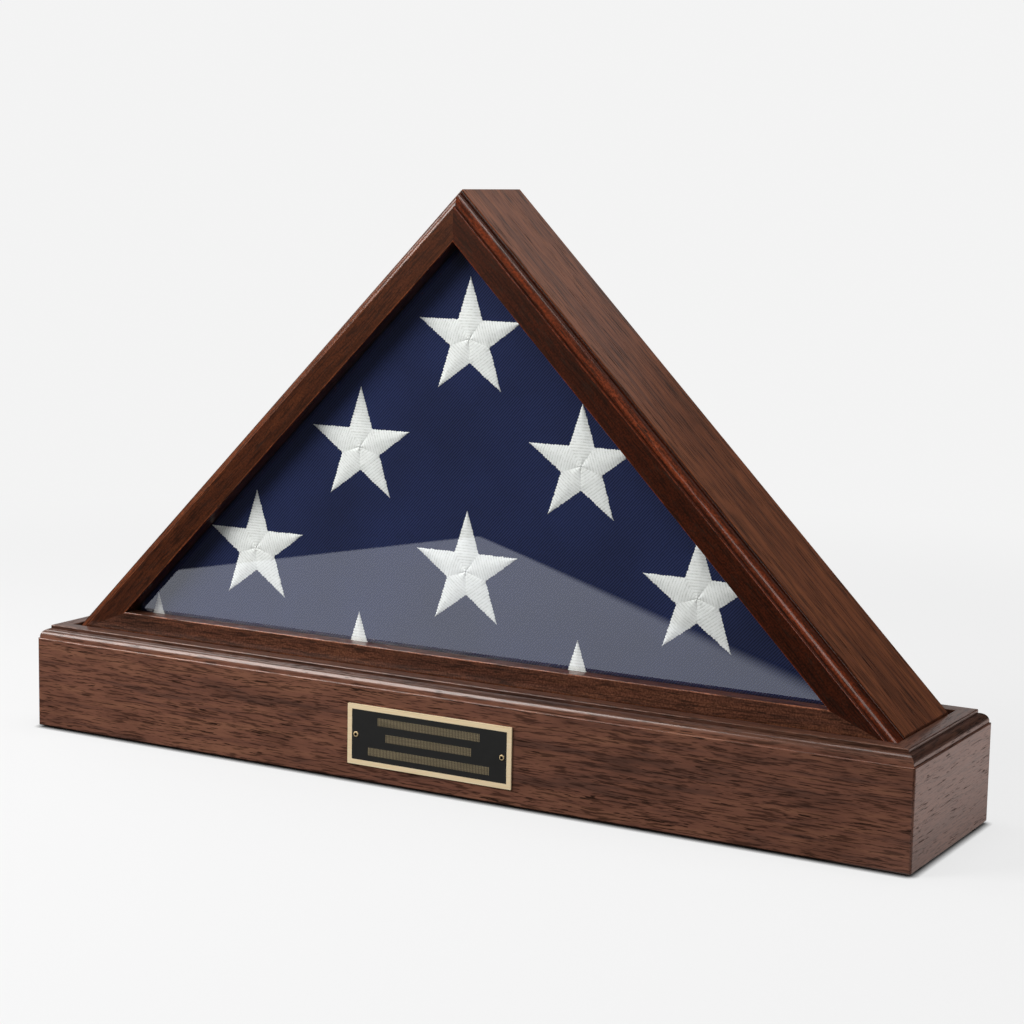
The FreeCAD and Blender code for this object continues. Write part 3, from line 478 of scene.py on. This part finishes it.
material, tree, shader = new_material("black enamel")
place = add(tree, "TexCoord")
flow = add(tree, "TexNoise", {"Scale": ENAMEL_FLOW, "Detail": 2.0},
           {"Vector": place.outputs["Object"]})
rough = add(tree, "MapRange", {"To Min": 0.34, "To Max": 0.44}, {"Value": flow.outputs[0]})
bump = add(tree, "Bump", {"Strength": 0.2, "Distance": 0.0001}, {"Height": flow.outputs[0]})
tree.links.new(rough.outputs[0], shader.inputs["Roughness"])
tree.links.new(bump.outputs[0], shader.inputs["Normal"])
shader.inputs["Base Color"].default_value = linear(ENAMEL)
finish_node("name_plate_field", material)

field_low, field_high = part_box("name_plate_field")
field_middle = (field_low.z + field_high.z) / 2
strokes = []
for i, length in enumerate(BAND_LENGTHS):
    count = round(length / STROKE_PITCH)
    start = Vector((-(count - 1) * STROKE_PITCH / 2, field_low.y,
                    field_middle + (1 - i) * BAND_PITCH))
    bpy.ops.mesh.primitive_cube_add(size=1, location=start, scale=STROKE)
    stroke = bpy.context.object
    bpy.ops.object.transform_apply(location=True, scale=True)
    bpy.ops.object.mode_set(mode="EDIT")
    bpy.ops.mesh.select_all(action="SELECT")
    bpy.ops.mesh.bevel(offset=STROKE_BEVEL, segments=1)
    bpy.ops.object.mode_set(mode="OBJECT")
    repeat = stroke.modifiers.new("repeat", "ARRAY")
    repeat.count = count
    repeat.use_relative_offset = False
    repeat.use_constant_offset = True
    repeat.constant_offset_displace = (STROKE_PITCH, 0, 0)
    bpy.ops.object.modifier_apply(modifier=repeat.name)
    strokes.append(stroke)
    bpy.ops.object.select_all(action="DESELECT")


def joined(pieces, name):
    """Join like pieces into one object."""
    bpy.ops.object.select_all(action="DESELECT")
    for piece in pieces:
        piece.select_set(True)
    bpy.context.view_layer.objects.active = pieces[0]
    bpy.ops.object.join()
    whole = bpy.context.object
    whole.name = name
    return whole


bands = joined(strokes, "name_plate_bands")
engraved = brushed_brass("engraved brass", light="#a39474", dark="#7d7056", metal=0.3)[0]
bands.data.materials.append(engraved)
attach(bands, "base")
bpy.ops.object.select_all(action="DESELECT")

# Case boards: three boards mitred into a right-angled triangle, grain along each board, in the
# same walnut stain and lacquer as the base.
flag_low, flag_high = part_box("folded_flag")
leg_slope = math.atan2(flag_high.z - flag_low.z, flag_high.x)
SLOPE_LEFT = (0, leg_slope, 0)
SLOPE_RIGHT = (0, -leg_slope, 0)
BOARD_TONE = (1.12, 0.92, 0.70)
for side, turn, shift in (("left", SLOPE_LEFT, 11.3), ("right", SLOPE_RIGHT, 13.9)):
    finish_node("case_board_" + side, walnut("walnut, " + side + " board", turn, (shift, 0, 0),
                                             BOARD_TONE, 0.15, length=1.8, contrast=0.7))
finish_node("case_board_bottom", walnut("walnut, bottom board", ALONG_X, (16.1, 0, 0), length=2.0))

# Front frame: three moulded rails mitred together and glued to the boards' front edges. The flats
# took the stain more deeply than the boards; the bead, the arrises and the sight edges carry
# painted highlights.
BEAD_IN = 0.0050               # the bead, an arris and the sight edge, in from the rail's outside
ARRIS_IN = 0.0087
SIGHT_IN = 0.0254
SIGHT_DOWN = 0.0005            # the bottom rail's sight edge, down from its top
ARRIS_HALF = 0.0006
LEFT_TONE = (0.30, 0.20, 0.13)
RIGHT_TONE = (0.20, 0.095, 0.055)
BOTTOM_TONE = (0.50, 0.46, 0.44)
case_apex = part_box("case_board_right")[1].z
frame_outer = case_apex * math.cos(leg_slope)
sight_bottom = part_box("front_frame_bottom")[1].z
# Lighter strips along each rail's bead, arris and sight edge: painted highlights.
left_painted_highlights = [(frame_outer - BEAD_IN, 0.0034, 0.8), (frame_outer - ARRIS_IN, ARRIS_HALF, 1.5),
             (frame_outer - SIGHT_IN, ARRIS_HALF, 2.0)]
right_painted_highlights = [(frame_outer - BEAD_IN, 0.0038, 3.0), (frame_outer - ARRIS_IN, ARRIS_HALF, 2.2),
              (frame_outer - SIGHT_IN, ARRIS_HALF, 1.8)]
bottom_painted_highlights = [(sight_bottom - SIGHT_DOWN, ARRIS_HALF, 1.8)]
for side, turn, shift, tone, mottled, painted_strips in (
        ("left", SLOPE_LEFT, 18.4, LEFT_TONE, 0.35, left_painted_highlights),
        ("right", SLOPE_RIGHT, 20.7, RIGHT_TONE, 0.45, right_painted_highlights),
        ("bottom", ALONG_X, 23.3, BOTTOM_TONE, 0.45, bottom_painted_highlights)):
    finish_node("front_frame_" + side, walnut("walnut, " + side + " frame rail", turn,
                                              (shift, 0, 0), tone, mottled=mottled, painted_strips=painted_strips))

# Glass pane and its stops: clear float glass behind the frame, held by three walnut strips and
# twelve brads. A real pane mirrors about 8 % of what is in front of it, 4 % from each face. Here
# its front face alone does, and mirrors a little more.
GLASS_INDEX = 2.0              # a higher index than real glass, which gives the one face 11 %
GLASS_TINT = (0.985, 0.992, 0.988, 1)
material, tree, shader = new_material("clear float glass")
tree.nodes.remove(shader)
mirror = add(tree, "Fresnel", {"IOR": GLASS_INDEX})
side = add(tree, "NewGeometry")
front = add(tree, "Math", {0: 1.0}, {1: side.outputs["Backfacing"]}, operation="SUBTRACT")
share = add(tree, "Math", links={0: mirror.outputs[0], 1: front.outputs[0]}, operation="MULTIPLY")
clear = add(tree, "BsdfTransparent", {"Color": GLASS_TINT})
shine = add(tree, "BsdfGlossy", {"Color": (1, 1, 1, 1), "Roughness": 0.0})
mixed = add(tree, "MixShader",
            links={0: share.outputs[0], 1: clear.outputs[0], 2: shine.outputs[0]})
tree.links.new(mixed.outputs[0], tree.nodes["Material Output"].inputs["Surface"])
finish_node("glass_pane", material)
stop_stain = walnut("walnut, stops", SLOPE_LEFT, (25.8, 0, 0), (0.3, 0.25, 0.2))
for name in ("glass_stop_left", "glass_stop_right", "glass_stop_bottom",
             "door_stop_left", "door_stop_right"):
    finish_node(name, stop_stain)
for name in ("glass_stop_brads", "door_stop_brads", "catch_magnets", "catch_strikes"):
    finish_node(name, zinc)

# Folded flag: navy cotton bunting folded into a tight three-cornered pad of some 27 layers. Its
# front lies almost flat behind the glass, its edges are the soft rolls of the folds, and at the
# back the tucked end makes shallow steps.
TWILL_PITCH = 0.0017           # about three times as coarse as the real weave, so that it shows
TWILL_TURN = math.radians(47)
WAVE_FACTOR = 20               # at a scale of 1 the wave node turns by 20 radians a metre
YARN = 700.0                   # per metre: the slubs of the yarn, 1.4 mm
SWELL = 11.0                   # per metre: the broad swell of the cloth, 90 mm
NAVY = "#26315b"
NAVY_DARK = "#101637"
LAYER = 0.0024                 # thickness of one folded layer
LAYER_SPREAD = 0.15            # the share that it varies by
LAYER_ROLL = 0.0008            # how far each fold bulges past the valleys between
LAYER_SWAY = 0.0005            # how far a layer may lie in or out of line
FOLD_PROFILE = ((0.06, 1.0), (0.28, 0.25), (0.5, 0.0), (0.72, 0.25), (0.94, 1.0))    # across one
EDGE_PROFILE = ((0.0003, 0.0022), (0.0011, 0.0009), (0.0024, 0.0001))    # depth and inset
EDGE_DEPTH = 0.0030            # depth of the rolled edge round the front, and round the back
CLOTH_FRONT = 0.0015           # the cloth lies this far behind its space's front, under the stars
BACK_ROOM = 0.0018             # and this far inside its back, under the stars there
STOP_GAP = 0.0006
BOARD_GAP = 0.0010
DOOR_STOP_WIDTH = 0.012
BELLY_DEPTH = 0.005            # between the stops the pad swells to the boards, over this depth,
BELLY_AFTER_GLASS = 0.0004     # from this far behind the glass stops,
BELLY_BEFORE_DOOR = 0.0056     # and draws in from this far before the door stops
TUCK_PLACES = (0.062, 0.071, 0.079)    # the tucked end's layers, in from the left edge
TUCK_STEP = 0.0009
TUCK_SOFT = 0.0016             # each step rises over this width
FRONT_RIPPLE = 0.00012
BACK_RIPPLE = 0.0002
CORNER_RADIUS = 0.0035         # of the rounded corners, where
CORNER_SHARE = 0.27            # at most this share of half the width is rounded off
EDGE_POINTS = {"bottom": 110, "leg": 80, "corner": 12}
CAP_RINGS = 34
CAP_EDGE = 0.004               # the flats end this far in from the edge
CAP_MIDDLE = 0.0008            # and start this far from the middle
case_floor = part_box("case_board_bottom")[0].z
board_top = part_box("case_board_bottom")[1].z
board = board_top - case_floor
stop_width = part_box("glass_stop_bottom")[1].z - board_top
stop_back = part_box("glass_stop_bottom")[1].y
door_stop_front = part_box("door_stop_left")[0].y
front_y = flag_low.y + CLOTH_FRONT
back_y = flag_high.y - BACK_ROOM
front_inset = board + stop_width + STOP_GAP
body_inset = board + BOARD_GAP
back_inset = board + DOOR_STOP_WIDTH + STOP_GAP
inradius = (case_apex - case_floor) * math.cos(leg_slope) / (1 + math.cos(leg_slope))


def flag_ring(inset):
    """Points (x, z) round the folded triangle, inset from the boards' outsides, corners rounded."""
    low = case_floor + inset
    top = case_apex - inset / math.cos(leg_slope)
    half = (top - low) / math.tan(leg_slope)
    corners = [Vector((-half, low)), Vector((half, low)), Vector((0, top))]
    counts = [EDGE_POINTS["bottom"], EDGE_POINTS["leg"], EDGE_POINTS["leg"]]
    ends = []
    for i, corner in enumerate(corners):
        before = (corners[i - 1] - corner).normalized()
        after = (corners[(i + 1) % 3] - corner).normalized()
        angle = before.angle(after)
        reach = min(CORNER_RADIUS / math.tan(angle / 2), half * CORNER_SHARE)
        radius = reach * math.tan(angle / 2)
        centre = corner + (before + after).normalized() * (radius / math.sin(angle / 2))
        first, last = corner + before * reach, corner + after * reach
        turn = []
        for k in range(EDGE_POINTS["corner"]):
            t = k / (EDGE_POINTS["corner"] - 1)
            spoke = (first - centre).lerp(last - centre, t).normalized()
            turn.append(centre + spoke * radius)
        ends.append(turn)
    points = []
    for i in range(3):
        points += ends[i]
        start, stop = ends[i][-1], ends[(i + 1) % 3][0]
        points += [start.lerp(stop, k / (counts[i] + 1)) for k in range(1, counts[i] + 1)]
    return points


def ripple(x, z, seed):
    """Soft waves of the cloth, about -1 to 1: broad ones of 80 mm and finer ones of 26 mm."""
    wide = noise.noise(Vector((x * 13, seed, z * 13)))
    return wide + 0.4 * noise.noise(Vector((x * 38, seed + 5.3, z * 38)))


def sunk(x, z):
    """How far a place on the back lies in from the tucked end's outermost layer."""
    left = x * math.sin(leg_slope) - (z - case_apex) * math.cos(leg_slope)
    covered = sum(min(max((left - place) / TUCK_SOFT, 0), 1) for place in TUCK_PLACES)
    return TUCK_STEP * (len(TUCK_PLACES) - covered)


def cap_insets(edge):
    """The insets of a flat's rings, from its middle out to its edge."""
    middle = inradius - CAP_MIDDLE
    return [middle + (edge + CAP_EDGE - middle) * k / (CAP_RINGS - 1) for k in range(CAP_RINGS)]


rings = []
for inset in cap_insets(front_inset):
    rings.append([(x, front_y + FRONT_RIPPLE * ripple(x, z, 3.1), z) for x, z in flag_ring(inset)])
for drop, lip in EDGE_PROFILE:
    rings.append([(x, front_y + drop, z) for x, z in flag_ring(front_inset + lip)])
y = front_y + EDGE_DEPTH
layer = 0
while y < back_y - EDGE_DEPTH:
    thick = LAYER * (1 + LAYER_SPREAD * noise.noise(Vector((layer * 1.7, 0.5, 0.5))))
    sway = LAYER_SWAY * (1 + noise.noise(Vector((layer * 2.3, 9.1, 0.2))))
    for share, roll in FOLD_PROFILE:
        at = y + share * thick
        widen = min(max((at - stop_back - BELLY_AFTER_GLASS) / BELLY_DEPTH, 0), 1)
        narrow = min(max((at - door_stop_front + BELLY_BEFORE_DOOR) / BELLY_DEPTH, 0), 1)
        inset = front_inset + (body_inset - front_inset) * widen ** 0.6
        inset += (back_inset - inset) * narrow ** 1.6
        inset += roll * LAYER_ROLL + sway
        rings.append([(x, min(at, back_y - EDGE_DEPTH), z) for x, z in flag_ring(inset)])
    y += thick
    layer += 1
for drop, lip in reversed(EDGE_PROFILE):
    rings.append([(x, back_y - drop - sunk(x, z) / 2, z) for x, z in flag_ring(back_inset + lip)])
for inset in reversed(cap_insets(back_inset)):
    rings.append([(x, back_y - sunk(x, z) - BACK_RIPPLE * (1 + ripple(x, z, 8.8)), z)
                  for x, z in flag_ring(inset)])
around = len(rings[0])
verts = [point for ring in rings for point in ring]
faces = [tuple(range(around)), tuple(reversed(range(len(verts) - around, len(verts))))]
for r in range(len(rings) - 1):
    for c in range(around):
        a, b = r * around + c, r * around + (c + 1) % around
        faces.append((a, a + around, b + around, b))
mesh = bpy.data.meshes.new("flag_bundle")
mesh.from_pydata(verts, [], faces)
flag = bpy.data.objects.new("flag_bundle", mesh)
bpy.context.scene.collection.objects.link(flag)
bpy.context.view_layer.objects.active = flag
flag.select_set(True)
bpy.ops.object.mode_set(mode="EDIT")
bpy.ops.mesh.select_all(action="SELECT")
bpy.ops.mesh.normals_make_consistent(inside=False)
bpy.ops.object.mode_set(mode="OBJECT")
bpy.ops.object.shade_smooth()

material, tree, shader = new_material("navy cotton bunting")
place = add(tree, "TexCoord")
turned = add(tree, "Mapping", {"Rotation": (0, TWILL_TURN, 0)},
             {"Vector": place.outputs["Object"]})
twill = add(tree, "TexWave", {"Scale": math.tau / TWILL_PITCH / WAVE_FACTOR, "Distortion": 0.5,
                              "Detail": 2.0, "Detail Scale": 3.0},
            {"Vector": turned.outputs[0]}, bands_direction="Z")
yarn = add(tree, "TexNoise", {"Scale": YARN, "Detail": 2.0}, {"Vector": place.outputs["Object"]})
fold = add(tree, "TexNoise", {"Scale": SWELL, "Detail": 3.0}, {"Vector": place.outputs["Object"]})
weave = add(tree, "Math", {1: 0.35}, {0: yarn.outputs[0], 2: twill.outputs[1]},
            operation="MULTIPLY_ADD")
colour = add(tree, "ValToRGB", links={0: weave.outputs[0]}, stops=[(0.2, NAVY_DARK), (1.15, NAVY)])
# The swell also darkens and lightens the navy: painted shading of the swells, on top of their bump.
tone = add(tree, "MapRange", {"From Min": 0.3, "From Max": 0.7, "To Min": 0.75, "To Max": 1.2},
           {"Value": fold.outputs[0]})
shade = add(tree, "Mix", {0: 1.0}, {6: colour.outputs[0], 7: tone.outputs[0]},
            data_type="RGBA", blend_type="MULTIPLY")
bump = add(tree, "Bump", {"Strength": 0.5, "Distance": 0.0003}, {"Height": fold.outputs[0]})
tree.links.new(shade.outputs[2], shader.inputs["Base Color"])
tree.links.new(bump.outputs[0], shader.inputs["Normal"])
shader.inputs["Roughness"].default_value = 0.9
shader.inputs["Specular IOR Level"].default_value = 0.2
flag.data.materials.append(material)
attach(flag, "case")
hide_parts("folded_flag")

# Embroidered stars: white thread laid in close satin stitches across each arm, so that every arm
# is a low ridge, the arms meet in seams, and the edges step a little from stitch to stitch.
STAR_RADIUS = 0.0444
STAR_HEIGHT = 0.0012
STAR_BACK = 0.0006             # its flat back lies this deep in the cloth
STAR_CUT = 0.001               # the lowest row is cut off this far above the cloth's front edge
STAR_SMOOTH = math.radians(60)
STAR_PITCH = Vector((0.0923, 0, -0.084))
STAR_TOP = Vector((0.0058, 0, 0.3253))
STAR_ROWS = (1, 2, 3, 3)       # in each row; a fourth at the bottom would lie behind the frame
STAR_SHIFTS = {(2, 0): (-0.0014, -0.0004), (3, 0): (-0.0035, -0.0060)}    # drawn in at the corner
STITCH = 0.0021                # drawn coarse, so that the stitches show
STITCH_RELIEF = 0.00022
STITCH_STEP = 0.00055          # how far an arm's edge wanders from stitch to stitch,
STITCH_NOTCH = 0.00025         # and how far each stitch steps in or out
STITCH_TAPER = 0.0025          # both fade where half the arm is narrower than this
STRAND = 420.0                 # per metre: loose strands of the thread, 2.4 mm
THREAD_WHITE = "#fdfdfb"
THREAD_SHADE = "#e4e4e0"
ARM_START = 0.0004
ARM_TIP = 0.0002
SEAM_START = 1.12              # inwards from this share of the way to an arm's widest place,
SEAM_LENGTH = 0.24             # and over this share of it, the arms run into each other
SEAM_CROWN = 0.55              # and their ridges flatten by this share
ACROSS = 8


def star_arm(radius, seed):
    """One upright arm of a star about the origin, as a closed low ridge of stitches."""
    inner = radius * math.sin(math.radians(18)) / math.sin(math.radians(54))
    widest = inner * math.cos(math.radians(36))
    half_widest = inner * math.sin(math.radians(36))
    rows = 2 * round(radius / STITCH)
    along = []
    bpy.ops.mesh.primitive_grid_add(x_subdivisions=ACROSS, y_subdivisions=rows, size=1)
    arm = bpy.context.object
    for v in arm.data.vertices:
        u, s = 2 * v.co.x, (v.co.y + 0.5) * (radius - ARM_START) + ARM_START
        row = round((v.co.y + 0.5) * rows)
        raised = row % 2
        inside = min(max((widest * SEAM_START - s) / (widest * SEAM_LENGTH), 0), 1)
        half = min(s / widest, (radius - s) / (radius - widest)) * half_widest
        step = STITCH_STEP * noise.noise(Vector((row // 2 * 0.83, seed, 1.0 if u > 0 else 6.0)))
        notch = STITCH_NOTCH if raised else -STITCH_NOTCH
        serrated = (step + notch) * min(half / STITCH_TAPER, 1)
        half = max(half, ARM_TIP) + (1 - inside) * serrated
        flattened = SEAM_CROWN * inside
        height = STAR_HEIGHT * (flattened + (1 - flattened) * (1 - abs(u) ** 1.6))
        if s > widest:
            height *= 0.3 + 0.7 * min(half / half_widest, 1)
        v.co = (u * half, -height - (STITCH_RELIEF if raised else 0), s)
        along.append((row + 0.25 * abs(u)) * math.pi)
    arm.data.attributes.new("stitch", "FLOAT", "POINT").data.foreach_set("value", along)
    bpy.ops.object.mode_set(mode="EDIT")
    bpy.ops.mesh.select_mode(type="EDGE")
    bpy.ops.mesh.select_all(action="DESELECT")
    bpy.ops.mesh.select_non_manifold()
    bpy.ops.mesh.extrude_edges_move(TRANSFORM_OT_translate={"value": (0, STAR_BACK, 0)})
    bpy.ops.transform.resize(value=(1, 0, 1), center_override=(0, STAR_BACK, 0))
    bpy.ops.mesh.edge_face_add()
    bpy.ops.mesh.select_all(action="SELECT")
    bpy.ops.mesh.normals_make_consistent(inside=False)
    bpy.ops.object.mode_set(mode="OBJECT")
    return arm


bpy.ops.object.select_all(action="DESELECT")
arms = []
for row, count in enumerate(STAR_ROWS):
    for column in range(count):
        aside, down = STAR_SHIFTS.get((row, column), (0, 0))
        centre = STAR_TOP + Vector(((2 * column - row) * STAR_PITCH.x + aside, front_y,
                                    row * STAR_PITCH.z + down))
        for i in range(5):
            arm = star_arm(STAR_RADIUS, row * 31 + column * 7 + i * 1.3)
            turn = Matrix.Rotation(i * math.tau / 5, 4, "Y")
            arm.data.transform(Matrix.Translation(centre) @ turn)
            arms.append(arm)
stars = joined(arms, "embroidered_stars")
bpy.ops.object.mode_set(mode="EDIT")
bpy.ops.mesh.select_all(action="SELECT")
bpy.ops.mesh.bisect(plane_co=(0, 0, case_floor + front_inset + STAR_CUT), plane_no=(0, 0, 1),
                    use_fill=True, clear_inner=True)
bpy.ops.object.mode_set(mode="OBJECT")
bpy.ops.object.shade_smooth_by_angle(angle=STAR_SMOOTH)

material, tree, shader = new_material("white satin stitch thread")
place = add(tree, "TexCoord")
strand = add(tree, "TexNoise", {"Scale": STRAND, "Detail": 3.0},
             {"Vector": place.outputs["Object"]})
rows = add(tree, "Attribute", attribute_name="stitch")
# The lowered rows of stitches take the shade colour: painted shade between the stitches, on top of
# the strands' own variation.
ridge = add(tree, "Math", links={0: rows.outputs["Fac"]}, operation="COSINE")
thread = add(tree, "Math", {1: -0.3}, {0: ridge.outputs[0], 2: strand.outputs[0]},
             operation="MULTIPLY_ADD")
colour = add(tree, "ValToRGB", links={0: thread.outputs[0]},
             stops=[(0.1, THREAD_SHADE), (0.5, THREAD_WHITE)])
bump = add(tree, "Bump", {"Strength": 0.5, "Distance": 0.00020}, {"Height": thread.outputs[0]})
tree.links.new(colour.outputs[0], shader.inputs["Base Color"])
tree.links.new(bump.outputs[0], shader.inputs["Normal"])
shader.inputs["Roughness"].default_value = 0.5
shader.inputs["Sheen Weight"].default_value = 0.1
stars.data.materials.append(material)
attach(stars, "case")

# The same stars on the bundle's back, which the open door shows: they follow the steps of the
# tucked end and stop at the rolled edges.
BACK_STAR_SINK = 0.0003        # how far they are set into the cloth
BACK_STAR_EDGE = 0.003         # they stop this far in from the cloth's edge
bpy.ops.object.select_all(action="DESELECT")
back_stars = stars.copy()
back_stars.data = stars.data.copy()
back_stars.name = "embroidered_stars_back"
bpy.context.scene.collection.objects.link(back_stars)
behind = Matrix.Translation((0, front_y + back_y - BACK_STAR_SINK, 0))
back_stars.data.transform(behind @ Matrix.Rotation(math.pi, 4, "Z"))
back_stars.select_set(True)
bpy.context.view_layer.objects.active = back_stars
for v in back_stars.data.vertices:
    v.co.y -= sunk(v.co.x, v.co.z)
edge = back_inset + BACK_STAR_EDGE
apex = Vector((0, 0, case_apex))
left_in = Vector((math.sin(leg_slope), 0, -math.cos(leg_slope)))
right_in = Vector((-left_in.x, 0, left_in.z))
bpy.ops.object.mode_set(mode="EDIT")
for start, inward in ((Vector((0, 0, case_floor + edge)), Vector((0, 0, 1))),
                      (apex + left_in * edge, left_in), (apex + right_in * edge, right_in)):
    bpy.ops.mesh.select_all(action="SELECT")
    bpy.ops.mesh.bisect(plane_co=start, plane_no=inward, use_fill=True, clear_inner=True)
bpy.ops.object.mode_set(mode="OBJECT")
bpy.ops.object.shade_smooth_by_angle(angle=STAR_SMOOTH)
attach(back_stars, "case")

# Hinges: two brass butt hinges along the door's lower edge, each a pair of stamped leaves folded
# round a pin, one screwed to the case's bottom board and the other to the door, with brass screws.
brass = brushed_brass("brushed brass, hinges and knob", light="#ecc982", dark="#cda35c")[0]
for name in ("hinge_case_leaf_left", "hinge_case_leaf_right", "hinge_case_screws",
             "hinge_pin_left", "hinge_pin_right",
             "hinge_door_leaf_left", "hinge_door_leaf_right", "hinge_door_screws"):
    finish_node(name, brass)

# Back door: a plywood panel cut to the triangle between the boards, stained like them on its back,
# with a turned brass knob near its top that one screw holds from inside.
finish_node("back_door", walnut("stained plywood, door", ALONG_X, (28.9, 0, 0), (0.9, 0.85, 0.8),
                                length=2.0))
finish_node("door_knob", brass)
finish_node("door_knob_screw", zinc)
